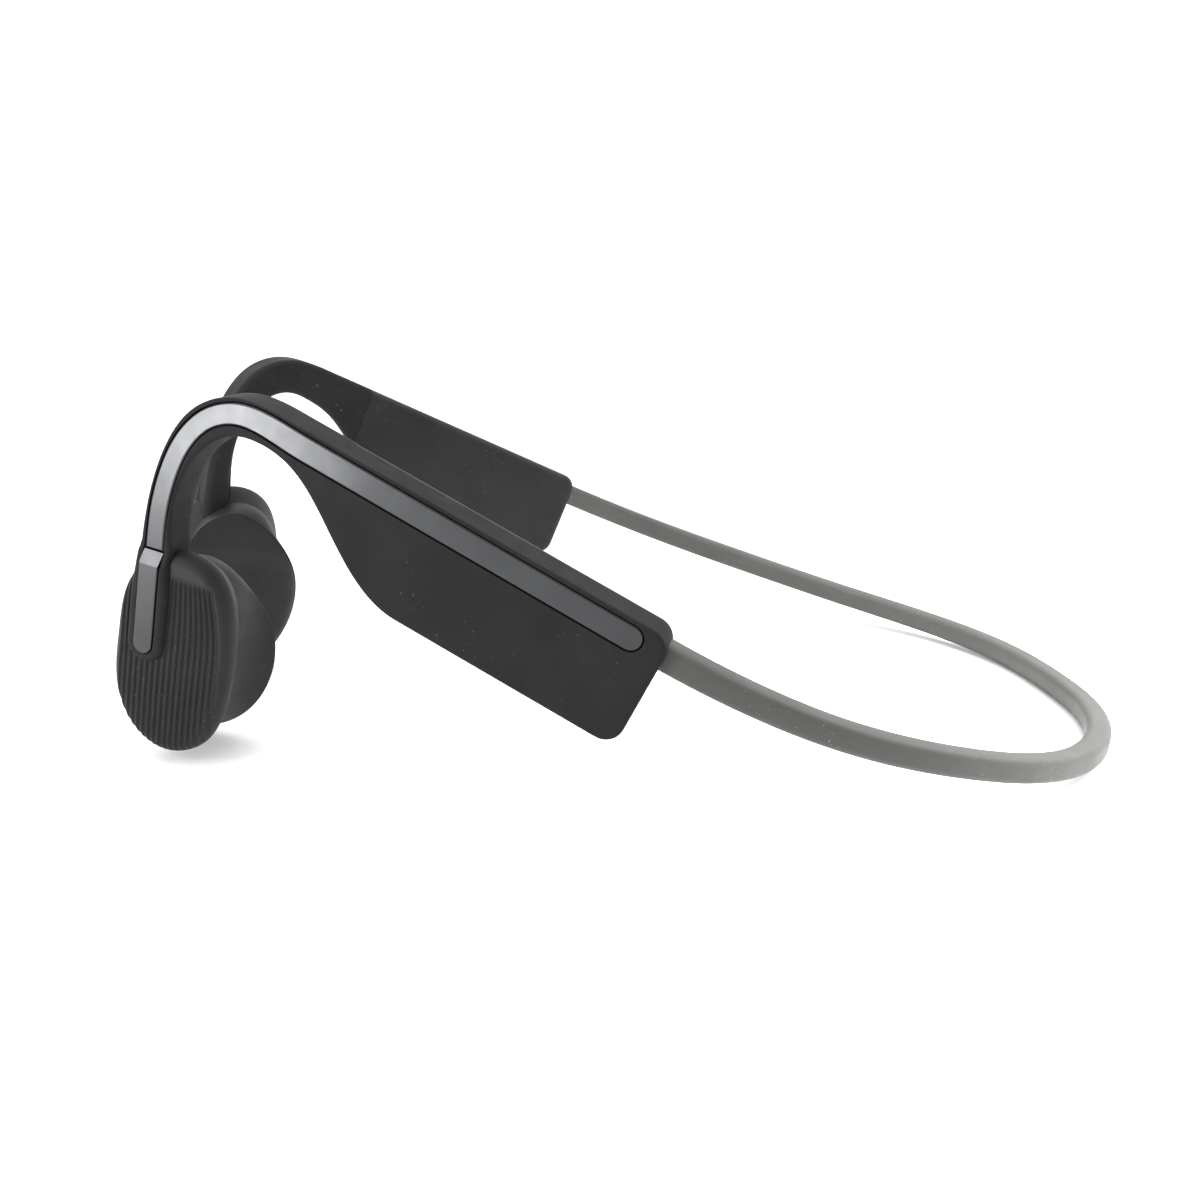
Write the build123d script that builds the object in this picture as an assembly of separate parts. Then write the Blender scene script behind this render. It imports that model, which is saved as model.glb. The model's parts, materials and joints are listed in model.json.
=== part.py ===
from build123d import *
from math import cos, radians, sin
import os

# Open-ear bone conduction headphones, millimetres.
# +X runs from the transducers to the rear of the neckband, -Y is the wearer's left, +Z is up.
# The origin is on the surface the object stands on, under the centre of its bounding box.
# Each side is drawn in its own frame: u along the side, w outwards from its mid plane, z up.

# ---- driving dimensions ------------------------------------------------------------------
HOOK_X = -57.6          # crest of each ear hook
HOOK_Y = 21.2
TOE_IN = 23.7           # degrees that each side turns outwards from front to rear
POD_SLOPE = 23.6        # degrees that each pod falls towards the rear
POD_TOP = 47.95         # the pod's top and bottom, measured square to its slope
POD_BOTTOM = 32.15
POD_REAR = 41.4         # the pod's rear face, measured along its slope
POD_CORNER = 2.6
HOUSING_OUT = 3.4       # the housing's outer and inner faces, measured outwards
HOUSING_IN = -3.1
COVER_OUT = -1.25       # the parting plane between the pod and its lid
BEVEL = (1.75, 2.0)     # the lid's broad bevel: its depth, and its width on the inner face
COVER_FRONT = -4.0      # the seam between the hook and the inner cover, along the pod
WALL = 1.1
CAVITY_FRONT = 6.5
CAVITY_OUT = 1.9
SEAM = 0.05
BAND_SIZE = 3.7         # the silicone neckband is nearly square in section
BAND_CORNER = 1.15
BAND_ACROSS = 44.8      # the neckband's axis at the pod, square to the slope
CORE_RADIUS = 0.5
LEAD_RADIUS = 0.45
CHANNEL = (1.5, 2.9)
STRIP_WIDTH = 3.15      # along the pod
STRIP_NARROW = 2.4      # over the arch and down the leg
STRIP_DEPTH = 0.7
TAPER_END = 0.45        # where the taper ends, along the arch
STRIP_GAP = 0.12
STRIP_END = (-10.24, 30.5)
TONGUE_OUT = 4.2        # raised arm around the button
TONGUE_IN = 1.2
TONGUE_RADIUS = 2.7
BUTTON_RADIUS = 1.33
BUTTON_OUT = 4.4
BUTTON_TOP = (-10.27, 30.2)
BUTTON_LENGTH = 12.8    # from the straight top to the centre of the round foot
BUTTON_SLOPE = (1.0, 1.5)       # the sloping step at the button's top: its depth and its length
SLIDE_GAP = 0.15        # side clearance of each moving button
SHELL_OUT = 3.2         # transducer layers, outermost first
SHELL_RIDGE = 1.1       # where the shell is widest
SHELL_IN = -2.2
WAIST = 2.0             # how far the waist is drawn in from the ridge
CUP_IN = -7.8
PAD_IN = -9.2
BROW = ((4.0, -9.2), (20.0, -3.8))      # above the pad's flat face its surface slopes back
DRUM_CENTRE = (-10.6, 14.5)
DRIVER_PLACE = (0.7, -0.6)
DRUM_TILT = 9.8         # degrees that the transducer's long axis leans back at its top
KEY_LENGTH = 6.2        # volume keys in the right pod's lower face
KEY_WIDTH = 2.8
KEY_PROUD = 0.5
KEY_PLACES = {"volume_up_button": 27.3, "volume_down_button": 34.6}
KEY_W = 0.2
PORT_W = 0.35
PORT_ALONG = 18.0       # middle of the charging port, along the pod
PORT_SHELL = (8.9, 3.2, 7.3)
PORT_MOUTH = (8.3, 2.5)

REAR_X = 75.08          # neckband axis at its rearmost point
BAND_POINTS = [(13.4, 48.0, 16.2), (33.7, 45.1, 9.8), (52.0, 38.0, 5.2), (66.4, 26.4, 2.85),
               (73.8, 12.6, 2.1)]
SPLIT = 0.62            # where a side sleeve meets the rear sleeve, along the half path


# ---- the side frame ----------------------------------------------------------------------
def slab(face, w_low, w_high):
    """A face drawn in the side plane, made solid between two distances outwards."""
    return extrude(Plane.XZ.offset(-w_high) * face, amount=w_high - w_low)


def along_pod(along, across):
    """Side-plane point from distances along and square to the pod's slope."""
    turn = radians(POD_SLOPE)
    return (along * cos(turn) + across * sin(turn), across * cos(turn) - along * sin(turn))


def pod_block(a_span, b_span, w_span, corner=0.0):
    """A block lined up with the pod's slope, from three (low, high) spans."""
    size = (a_span[1] - a_span[0], b_span[1] - b_span[0])
    face = RectangleRounded(*size, corner) if corner else Rectangle(*size)
    centre = along_pod(sum(a_span) / 2, sum(b_span) / 2)
    return slab(Location((*centre, 0), (0, 0, -POD_SLOPE)) * face, *w_span)


def place(solid, side):
    """Move a solid from the side's own frame to the right or the left of the head."""
    right = Location((HOOK_X, HOOK_Y, 0), (0, 0, TOE_IN)) * solid
    return right if side == "right" else mirror(right, about=Plane.XZ)


# ---- ear hook and pod --------------------------------------------------------------------
SLOPE = Vector(*along_pod(1, 0))
LEG_DOWN = Vector(-0.17, -1, 0)


def housing_outline():
    """Hook and pod seen from the side: arch, front leg, and the body behind it."""
    top_front = along_pod(-10.2, POD_TOP)
    top_rear = along_pod(POD_REAR, POD_TOP)
    low_rear = along_pod(POD_REAR, POD_BOTTOM)
    low_front = along_pod(10.6, POD_BOTTOM)
    leg_front = (-12.87, 27.6)
    leg_rear = (-8.37, 27.6)
    outer = Spline([top_front, (1.5, 50.5), (-3.4, 48.9), (-7.6, 44.2), (-10.4, 38.0), leg_front],
                   tangents=[-SLOPE, LEG_DOWN])
    inner = Spline([leg_rear, (-7.7, 34.0), (-5.6, 40.2), (-2.0, 44.3), (1.5, 45.8), (5.0, 45.3),
                    (8.0, 43.5), (13.4, 36.0), low_front], tangents=[-LEG_DOWN, SLOPE])
    face = make_face([
        Line(top_rear, top_front),
        outer,
        Line(leg_front, leg_rear),
        inner,
        Line(low_front, low_rear),
        Line(low_rear, top_rear),
    ])
    rear = [v for v in face.vertices() if v.X > 45]
    return fillet(rear, POD_CORNER)


def behind_seam(front, w_high=20):
    """The region behind the slanted seam at this distance along the pod, up to a plane."""
    return pod_block((front, POD_REAR + 5), (POD_BOTTOM - 5, POD_TOP + 5), (-20, w_high))


def pod_cavity(w_low, w_high):
    """Room for the electronics, a wall's thickness inside the pod."""
    return pod_block((CAVITY_FRONT, POD_REAR - WALL), (POD_BOTTOM + WALL, POD_TOP - WALL),
                     (w_low, w_high), POD_CORNER - WALL)


def strip_line(last):
    """Centre line of the trim strip: along the pod, over the arch, down the front leg."""
    start = along_pod(36.75, 45.72)
    bend = along_pod(-7.8, 45.95)
    arch = Spline([bend, (2.2, 48.6), (-4.0, 45.85), (-7.5, 40.3), last],
                  tangents=[bend_direction(start, bend), LEG_DOWN])
    return start, bend, arch


def bend_direction(start, bend):
    return Vector(bend[0] - start[0], bend[1] - start[1], 0)


def bar_section(path, width, w_low, w_high):
    """A strip's cross-section, square to a path in the side plane at its start."""
    plane = Plane(origin=path @ 0, x_dir=(0, 1, 0), z_dir=path % 0)
    return plane * Pos((w_low + w_high) / 2, 0) * Rectangle(w_high - w_low, width)


def strip_bar(extra, w_low, w_high, last=STRIP_END):
    """The strip, or with extra the groove for it: wide along the pod, narrower over the arch."""
    start, bend, arch = strip_line(last)
    wide = STRIP_WIDTH + extra
    run = Plane.XZ * Line(start, bend)
    over = Plane.XZ * arch
    over_start = over.trim(0, TAPER_END)
    over_rest = over.trim(TAPER_END, 1)
    bar = sweep(bar_section(run, wide, w_low, w_high), path=run)
    taper = sweep([bar_section(over_start, wide, w_low, w_high),
                   bar_section(over_rest, STRIP_NARROW + extra, w_low, w_high)],
                  path=over_start, multisection=True)
    leg = sweep(bar_section(over_rest, STRIP_NARROW + extra, w_low, w_high), path=over_rest)
    end = slab(Pos(*start) * Circle(wide / 2), w_low, w_high)
    return bar + taper + leg + end


def button_outline(radius, top_extra):
    """Straight-topped tab with a round foot, down the transducer's face."""
    lean = radians(DRUM_TILT)
    down = Vector(-sin(lean), -cos(lean))
    foot = Vector(*BUTTON_TOP) + down * BUTTON_LENGTH
    head = Vector(*BUTTON_TOP) - down * top_extra
    middle = (head + foot) * 0.5
    length = (foot - head).length
    tab = Location((middle.X, middle.Y, 0), (0, 0, -DRUM_TILT)) * Rectangle(2 * radius, length)
    return tab + Pos(foot.X, foot.Y) * Circle(radius)


def hook_core(radius):
    """Round titanium wire from inside the pod, over the arch, into the transducer."""
    start, bend, arch = strip_line((-10.9, 27.2))
    run = Line(start, bend)
    path = Wire([Plane.XZ * Line(run @ 0.8, run @ 1), Plane.XZ * arch])
    section = Plane(origin=path @ 0, z_dir=path % 0) * Circle(radius)
    return sweep(section, path=path)


def tongue():
    """The raised arm that carries the hook's line down over the transducer's face."""
    return slab(button_outline(TONGUE_RADIUS, -1.9), TONGUE_IN, TONGUE_OUT)


def band_slot(a_low, a_high):
    """Way through the pod's rear wall for the neckband's core and leads."""
    half = CHANNEL[1] / 2
    return pod_block((a_low, a_high), (BAND_ACROSS - half, BAND_ACROSS + half),
                     (-CHANNEL[0] / 2, CHANNEL[0] / 2))


def earhook_housing(side):
    solid = slab(housing_outline(), HOUSING_IN, HOUSING_OUT)
    rims = [e for e in solid.edges() if abs(e.center().Y - HOUSING_OUT) < 0.01 and e.center().Z > 27.8]
    solid = chamfer(rims, 0.3)
    solid -= behind_seam(COVER_FRONT - SEAM, COVER_OUT)
    solid += tongue()
    solid -= slab(button_outline(BUTTON_RADIUS + SLIDE_GAP, SLIDE_GAP), TONGUE_IN - 1, 9)
    solid -= slab(button_outline(BUTTON_RADIUS + SLIDE_GAP, 0.45), HOUSING_OUT - STRIP_DEPTH, 9)
    solid -= pod_cavity(COVER_OUT - 1, CAVITY_OUT)
    solid -= strip_bar(2 * STRIP_GAP, HOUSING_OUT - STRIP_DEPTH, HOUSING_OUT + 2)
    solid -= hook_core(CORE_RADIUS + 0.02)
    solid -= band_slot(POD_REAR - 3, POD_REAR + 1)
    if side == "right":
        for along in KEY_PLACES.values():
            solid -= key(along, SLIDE_GAP, POD_BOTTOM - 2)
        solid -= port_block(0.05, -1)
        solid -= light_guide(0.02)
    return solid


def inner_cover():
    """Lid that closes the pod on the side nearest the head, with a broad bevel."""
    spans = ((COVER_FRONT - 20, POD_REAR), (POD_BOTTOM, POD_TOP), (HOUSING_IN, COVER_OUT - SEAM))
    block = pod_block(*spans, POD_CORNER)
    rims = [e for e in block.edges() if abs(e.center().Y - HOUSING_IN) < 0.01]
    inner_face = block.faces().sort_by(Axis.Y)[0]
    block = chamfer(rims, BEVEL[1], BEVEL[0], reference=inner_face)
    lid = block & slab(housing_outline(), HOUSING_IN, COVER_OUT) & behind_seam(COVER_FRONT)
    return lid - pod_cavity(-1.75, 0)


def pod_pieces(side):
    return {
        "earhook_housing": earhook_housing(side),
        "pod_inner_cover": inner_cover(),
        "hook_core_wire": hook_core(CORE_RADIUS),
    }


# ---- transducer --------------------------------------------------------------------------
def drum_point(p, q):
    """Side-plane point from distances across and up the transducer's tilted long axis."""
    lean = radians(DRUM_TILT)
    return (DRUM_CENTRE[0] + p * cos(lean) + q * sin(lean),
            DRUM_CENTRE[1] + q * cos(lean) - p * sin(lean))


def drum_outline(points, inset):
    """Closed smooth outline about the transducer's tilted long axis."""
    drawn = [Vector(*p) * (1 - inset / Vector(*p).length) for p in points]
    curve = Spline(drawn, periodic=True)
    return Location((*DRUM_CENTRE, 0), (0, 0, -DRUM_TILT)) * make_face(curve)


def shell_outline(inset=0.0):
    return drum_outline([(1.2, 15.9), (-5.6, 11.9), (-7.6, 3.0), (-7.2, -5.6), (-4.0, -11.2),
                         (0.9, -13.2), (5.6, -11.2), (8.6, -5.2), (9.3, 1.5), (8.4, 10.0),
                         (5.6, 14.5)], inset)


def cup_outline(inset=0.0):
    return drum_outline([(0.0, 12.9), (-6.0, 9.8), (-8.2, 1.5), (-6.9, -8.6), (-1.6, -13.8),
                         (4.4, -13.7), (9.1, -9.0), (10.6, -2.5), (9.7, 4.0), (5.9, 9.8)], inset)


def between(outer_face, w_high, inner_face, w_low):
    """A solid that runs from one outline to another, nearer the head."""
    return loft([Plane.XZ.offset(-w_high) * outer_face, Plane.XZ.offset(-w_low) * inner_face])


def transducer_shell(side):
    """Ribbed outer shell: widest at its ridge, drawn in to a waist behind it."""
    crown = slab(shell_outline(), SHELL_RIDGE, SHELL_OUT)
    rim = [e for e in crown.edges() if abs(e.center().Y - SHELL_OUT) < 0.01]
    solid = chamfer(rim, 1.2) + between(shell_outline(), SHELL_RIDGE, shell_outline(WAIST), SHELL_IN)
    solid -= slab(shell_outline(WAIST + 0.9), SHELL_IN - 1, TONGUE_IN - 0.9)
    solid -= slab(button_outline(TONGUE_RADIUS + SEAM, 8), TONGUE_IN, 9)
    solid -= slab(button_outline(BUTTON_RADIUS + SLIDE_GAP, SLIDE_GAP), TONGUE_IN - 1.5, 9)
    leg = slab(Pos(-10.3, 32.6) * Rectangle(6.4, 10.2), HOUSING_IN - 0.1, 9)
    return solid - leg - hook_core(CORE_RADIUS + 0.02)


def brow():
    """The space above the pad's flat face, where the surface slopes back to the hook."""
    (q_low, w_low), (q_high, w_high) = BROW
    side_view = Plane.YZ * Polygon((w_low, q_low), (w_high, q_high), (-30, q_high), (-30, q_low),
                                   align=None)
    solid = extrude(side_view, amount=20, both=True)
    return Location((DRUM_CENTRE[0], 0, DRUM_CENTRE[1]), (0, DRUM_TILT, 0)) * solid


def transducer_cup():
    """Cup that flares from the waist to the pad."""
    w_high = SHELL_IN - SEAM
    solid = between(shell_outline(WAIST), w_high, cup_outline(), CUP_IN)
    hollow = between(shell_outline(WAIST + 0.9), w_high + 0.01, cup_outline(2.3), CUP_IN + 1.4)
    return solid - hollow - brow()


def contact_pad():
    solid = slab(cup_outline(0.4), PAD_IN, CUP_IN - SEAM)
    rim = [e for e in solid.edges() if abs(e.center().Y - PAD_IN) < 0.01]
    return chamfer(rim, 0.9) - brow()


def ring(outer, inner, w_low, w_high):
    face = Circle(outer) - Circle(inner) if inner else Circle(outer)
    return slab(Pos(*drum_point(*DRIVER_PLACE)) * face, w_low, w_high)


def driver():
    yoke = ring(5.2, 0, -1.3, -0.5) + ring(5.2, 4.7, -4.6, -1.2)
    middle = drum_point(*DRIVER_PLACE)
    plate = slab(Location((*middle, 0), (0, 0, -DRUM_TILT)) * RectangleRounded(9, 12, 2), -6.35, -5.8)
    return {
        "driver_yoke": yoke,
        "driver_magnet": ring(3.1, 0, -3.9, -1.35),
        "driver_top_plate": ring(3.1, 0, -4.7, -3.95),
        "voice_coil": ring(4.4, 3.6, -5.75, -3.2),
        "vibration_plate": plate,
    }


def transducer_pieces(side):
    pieces = {
        "transducer_shell": transducer_shell(side),
        "transducer_cup": transducer_cup(),
        "contact_pad": contact_pad(),
    }
    return pieces | driver()


# ---- buttons, port and electronics -------------------------------------------------------
def key(along, extra, b_low):
    """One oblong key through the pod's lower wall."""
    half = KEY_LENGTH / 2 + extra
    wide = KEY_WIDTH / 2 + extra
    return pod_block((along - half, along + half), (b_low, POD_BOTTOM + 1.9),
                     (KEY_W - wide, KEY_W + wide))


def port_block(extra, depth_extra):
    """The charging port's metal shell, its mouth in the pod's lower face."""
    half = PORT_SHELL[0] / 2 + extra
    wide = PORT_SHELL[1] / 2 + extra
    low = POD_BOTTOM + 0.2 if depth_extra == 0 else POD_BOTTOM - 1
    return pod_block((PORT_ALONG - half, PORT_ALONG + half), (low, POD_BOTTOM + PORT_SHELL[2]),
                     (PORT_W - wide, PORT_W + wide))


def charging_port():
    half = PORT_MOUTH[0] / 2
    wide = PORT_MOUTH[1] / 2
    depth = (POD_BOTTOM - 1, POD_BOTTOM + PORT_SHELL[2] - 0.8)
    hollow = pod_block((PORT_ALONG - half, PORT_ALONG + half), depth, (PORT_W - wide, PORT_W + wide))
    tongue_plate = pod_block((PORT_ALONG - 3.3, PORT_ALONG + 3.3), (POD_BOTTOM + 1.2, depth[1] + 0.1),
                             (PORT_W - 0.35, PORT_W + 0.35))
    return port_block(0, 0) - hollow + tongue_plate


def light_guide(extra):
    centre = Vector(*along_pod(39.0, POD_BOTTOM + 1.0))
    face = Location((centre.X, centre.Y, 0), (0, 0, -POD_SLOPE)) * Rectangle(1.2 + 2 * extra, 2.0)
    return slab(face, -0.6 - extra, 0.6 + extra)


def right_pod_electronics():
    domes = [pod_block((a - 1.6, a + 1.6), (POD_BOTTOM + 2.35, POD_BOTTOM + 3.4), (KEY_W - 1.3, KEY_W + 1.3))
             for a in KEY_PLACES.values()]
    board = pod_block((23.6, 38.2), (POD_BOTTOM + 3.4, POD_BOTTOM + 4.1), (-1.5, 1.6))
    mics = [pod_block((a - 1.4, a + 1.4), (43.0, 44.9), (-0.65, 0.25)) for a in (20.0, 33.0)]
    return {
        "main_board": pod_block((7.0, 38.4), (POD_BOTTOM + PORT_SHELL[2] + 0.3, 45.6), (-1.5, -0.7)),
        "charging_port": charging_port(),
        "volume_switch_board": board + domes,
        "status_light_guide": light_guide(0),
        "microphones": Compound(mics),
    }


def left_pod_electronics():
    switch = slab(Location((-11.9, 21.5, 0), (0, 0, -DRUM_TILT)) * Rectangle(2.3, 2.6), -0.45, 0.4)
    return {
        "battery_cell": pod_block((9.0, 34.5), (34.6, 45.2), (-1.5, 1.6), 0.8),
        "protection_board": pod_block((35.2, 38.6), (34.6, 42.6), (-1.2, -0.4)),
        "multifunction_switch": switch,
    }


def multifunction_button():
    """Tab in line with the trim strip, with a sloping step at its top."""
    solid = slab(button_outline(BUTTON_RADIUS, 0), TONGUE_IN - 0.3, BUTTON_OUT)
    outer_face = solid.faces().sort_by(Axis.Y)[-1]
    top = [e for e in outer_face.edges() if e.center().Z > 30]
    return chamfer(top, BUTTON_SLOPE[1], BUTTON_SLOPE[0], reference=outer_face)


# ---- neckband ----------------------------------------------------------------------------
def half_path():
    """The neckband's axis from the right pod's rear face to the middle of the rear."""
    u, z = along_pod(POD_REAR, BAND_ACROSS)
    turn = radians(TOE_IN)
    start = Vector(HOOK_X + u * cos(turn), HOOK_Y + u * sin(turn), z)
    leave = Vector(SLOPE.X * cos(turn), SLOPE.X * sin(turn), SLOPE.Y)
    points = [start, *BAND_POINTS, (REAR_X, 0, BAND_SIZE / 2 + 0.2)]
    return Spline(points, tangents=[leave, Vector(0, -1, 0)])


def band_plane(path):
    ahead = path % 0
    return Plane(origin=path @ 0, x_dir=ahead.cross(Vector(0, 0, 1)), z_dir=ahead)


def sleeve(path):
    solid = sweep(band_plane(path) * RectangleRounded(BAND_SIZE, BAND_SIZE, BAND_CORNER), path=path)
    return solid - sweep(band_plane(path) * Rectangle(*CHANNEL), path=path)


def wire_along(path, radius, lift):
    return sweep(band_plane(path) * Pos(0, lift) * Circle(radius), path=path)


def neckband_pieces():
    half = half_path()
    front = half.trim(0, SPLIT)
    rear = half.trim(SPLIT, 1)
    side_sleeve = sleeve(front)
    rear_half = sleeve(rear)
    core = wire_along(front, CORE_RADIUS, -0.75) + wire_along(rear, CORE_RADIUS, -0.75)
    leads = wire_along(front, LEAD_RADIUS, 0.7) + wire_along(rear, LEAD_RADIUS, 0.7)
    return {
        "neckband_sleeve_right": side_sleeve,
        "neckband_sleeve_left": mirror(side_sleeve, about=Plane.XZ),
        "neckband_sleeve_rear": rear_half + mirror(rear_half, about=Plane.XZ),
        "neckband_core_wire": core + mirror(core, about=Plane.XZ),
        "neckband_leads": leads + mirror(leads, about=Plane.XZ),
    }


# ---- everything --------------------------------------------------------------------------
def trim_strip(side):
    """Satin strip set into the housing; on the right it runs on as a fixed end panel."""
    strip = strip_bar(0, HOUSING_OUT - STRIP_DEPTH, HOUSING_OUT)
    if side == "left":
        return strip
    return strip + multifunction_button() + slab(
        button_outline(BUTTON_RADIUS, 0.4), TONGUE_IN + 1.3, HOUSING_OUT)


def build():
    pieces = neckband_pieces()
    for side in ("left", "right"):
        parts = pod_pieces(side) | transducer_pieces(side) | {"trim_strip": trim_strip(side)}
        for name, solid in parts.items():
            pieces[f"{side}_{name}"] = place(solid, side)
    for name, solid in left_pod_electronics().items():
        pieces[name] = place(solid, "left")
    for name, solid in right_pod_electronics().items():
        pieces[name] = place(solid, "right")
    pieces["multifunction_button"] = place(multifunction_button(), "left")
    for name, along in KEY_PLACES.items():
        pieces[name] = place(key(along, 0, POD_BOTTOM - KEY_PROUD), "right")
    return pieces


os.makedirs("parts", exist_ok=True)
for name, solid in build().items():
    export_step(solid, f"parts/{name}.step")
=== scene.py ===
import json
from math import cos, radians, sin

import bmesh
import bpy
import numpy as np
from mathutils import Matrix, Vector


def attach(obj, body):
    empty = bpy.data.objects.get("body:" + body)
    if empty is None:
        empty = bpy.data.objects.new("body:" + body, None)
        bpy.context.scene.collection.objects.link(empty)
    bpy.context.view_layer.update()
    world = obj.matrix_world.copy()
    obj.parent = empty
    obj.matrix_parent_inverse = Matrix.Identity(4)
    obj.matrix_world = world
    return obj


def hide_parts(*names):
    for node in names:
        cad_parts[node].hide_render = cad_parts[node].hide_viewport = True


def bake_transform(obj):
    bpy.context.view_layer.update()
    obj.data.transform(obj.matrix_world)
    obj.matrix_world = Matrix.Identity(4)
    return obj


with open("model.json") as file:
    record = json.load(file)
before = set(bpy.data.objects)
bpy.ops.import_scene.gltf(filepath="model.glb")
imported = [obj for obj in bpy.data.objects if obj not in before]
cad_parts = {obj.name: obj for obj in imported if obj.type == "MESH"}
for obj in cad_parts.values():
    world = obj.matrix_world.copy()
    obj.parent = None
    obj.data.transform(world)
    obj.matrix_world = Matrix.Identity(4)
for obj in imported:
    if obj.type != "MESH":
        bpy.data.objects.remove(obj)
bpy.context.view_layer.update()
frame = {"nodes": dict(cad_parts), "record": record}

MM = 0.001

# ---- sizes, in millimetres ------------------------------------------------------------------
# Most are the CAD's own. The roundings, BELLY, TUCK and the lower rear of CUP_POINTS differ.
# A side's own axes are u (rearward), w (outward) and z (up). A name in _OUT or _IN is a face's w.
HOOK_X, HOOK_Y = -57.6, 21.2
TOE_IN = radians(23.7)
POD_SLOPE = radians(23.6)
POD_TOP, POD_BOTTOM, POD_REAR = 47.95, 32.15, 41.4
POD_CORNER = 2.6
LEG_FOOT, INNER_LEG_FOOT = 27.6, 24.6
LEG_LEAN = 0.17
HOUSING_OUT, HOUSING_IN = 3.4, -3.1
INNER_SLAB_OUT, INNER_SLAB_END = 0.5, 3.0
COVER_OUT, COVER_FRONT = -1.25, -4.0
COVER_OVERLAP = 1.2
RIM_ROUND, LID_ROUND, HOOK_ROUND = 0.5, 1.8, 1.4
BELLY, TUCK = 1.8, 0.5
SEAM = 0.05
WALL = 1.1
CAVITY_FRONT, CAVITY_OUT, RECESS_IN = 6.5, 1.9, -1.75
BAND_SIZE, BAND_CORNER, BAND_ACROSS = 3.7, 1.15, 44.8
BAND_ENTRY, BAND_LIFT = 1.2, 0.2
CORE_RADIUS, LEAD_RADIUS = 0.5, 0.45
CORE_LIFT, LEAD_LIFT = -0.75, 0.7
STRIP_WIDTH, STRIP_NARROW, STRIP_DEPTH, STRIP_GAP = 3.15, 2.4, 0.7, 0.17
STRIP_END = (-10.24, 30.42)
ARM_IN, ARM_OUT, ARM_RADIUS, ARM_ROUND = 0.4, 4.2, 2.7, 0.95
BUTTON_RADIUS, BUTTON_IN, BUTTON_OUT, BUTTON_LENGTH = 1.33, 1.2, 4.4, 12.8
BUTTON_TOP = np.array((-10.27, 30.2))
ARM_STEP, BUTTON_STEP = (-0.4, 2.2), (0.0, 1.7)
SLIDE_GAP = 0.15
SHELL_OUT, SHELL_RIDGE, SHELL_IN = 3.2, 1.1, -2.2
SHELL_MARGIN, SHELL_CROWN = 1.9, 0.25
WAIST, NECK = 2.0, 1.2
CUP_IN, PAD_IN = -7.8, -9.2
PAD_MARGIN = 2.6
DRUM_CENTRE = (-10.6, 14.5)
DRUM_TILT = radians(9.8)
KEY_PLACES, KEY_HALF, KEY_DEPTH = (27.3, 34.6), 3.25, 1.9
PORT_ALONG, PORT_HALF, PORT_DEPTH = 18.0, 4.5, 7.3
OPENING_W = (-1.2, 1.75)
REAR_X = 75.08
BAND_POINTS = [(13.4, 48.0, 16.2), (33.7, 45.1, 9.8), (52.0, 38.0, 5.2), (66.4, 26.4, 2.85),
               (73.8, 12.6, 2.1)]
SHELL_POINTS = [(1.2, 15.9), (-5.6, 11.9), (-7.6, 3.0), (-7.2, -5.6), (-4.0, -11.2),
                (0.9, -13.2), (5.6, -11.2), (8.6, -5.2), (9.3, 1.5), (8.4, 10.0), (5.6, 14.5)]
CUP_POINTS = [(0.0, 12.9), (-6.0, 9.8), (-8.2, 1.5), (-6.9, -8.6), (-1.6, -13.8), (2.6, -12.9),
              (7.3, -8.9), (10.0, -2.8), (9.7, 4.0), (5.9, 9.8)]
RIB_PITCH, RIB_START, RIB_DEPTH = 0.84, 1.09, 0.34

# ---- how the shapes are made ----------------------------------------------------------------
DRUM_STEPS = 600
STRAIGHT_STEPS, ARCH_STEPS = 40, 150
BAND_STEPS = 220
VOXEL, RELAX_STEPS = 0.18, 3
CUTTER_RIM = 0.01
PAST_IN, PAST_OUT = -9, 9           # w beyond either face, for cutters
PAST_BELOW, PAST_ABOVE = 20, 60     # distance across the slope beyond the pod, for cutters

SIGN = {"left": -1, "right": 1}
DOWN = np.array([-sin(DRUM_TILT), -cos(DRUM_TILT)])     # down the transducer, in (u, z)
ACROSS = np.array([DOWN[1], -DOWN[0]])


# ---- curves ---------------------------------------------------------------------------------
def along_pod(along, across):
    """Side-plane point from distances along and square to the pod's slope."""
    return np.array([along * cos(POD_SLOPE) + across * sin(POD_SLOPE),
                     across * cos(POD_SLOPE) - along * sin(POD_SLOPE)])


def hermite(p, m, h, count, closed):
    """Even points along cubic spans through p, with slope m at each point and span lengths h."""
    spans = len(p) if closed else len(p) - 1
    total = h[:spans].sum()
    ends = np.concatenate([[0], np.cumsum(h[:spans])])
    where = np.linspace(0, total, count, endpoint=not closed)
    index = np.clip(np.searchsorted(ends, where, side="right") - 1, 0, spans - 1)
    t = ((where - ends[index]) / h[index])[:, None]
    a, b = p[index], p[(index + 1) % len(p)]
    step = h[index][:, None]
    ma, mb = m[index] * step, m[(index + 1) % len(p)] * step
    return ((2 * t**3 - 3 * t**2 + 1) * a + (t**3 - 2 * t**2 + t) * ma
            + (3 * t**2 - 2 * t**3) * b + (t**3 - t**2) * mb)


def spline(points, first, last, count):
    """Smooth curve through the points, with the given end directions."""
    p = np.array(points, float)
    n = len(p)
    h = np.linalg.norm(np.diff(p, axis=0), axis=1)
    lhs = np.eye(n)
    rhs = np.zeros_like(p)
    rhs[0] = np.array(first) / np.linalg.norm(first)
    rhs[-1] = np.array(last) / np.linalg.norm(last)
    for i in range(1, n - 1):
        lhs[i, i - 1:i + 2] = h[i], 2 * (h[i - 1] + h[i]), h[i - 1]
        rhs[i] = 3 * (h[i] * (p[i] - p[i - 1]) / h[i - 1]
                      + h[i - 1] * (p[i + 1] - p[i]) / h[i])
    return hermite(p, np.linalg.solve(lhs, rhs), h, count, False)


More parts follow.
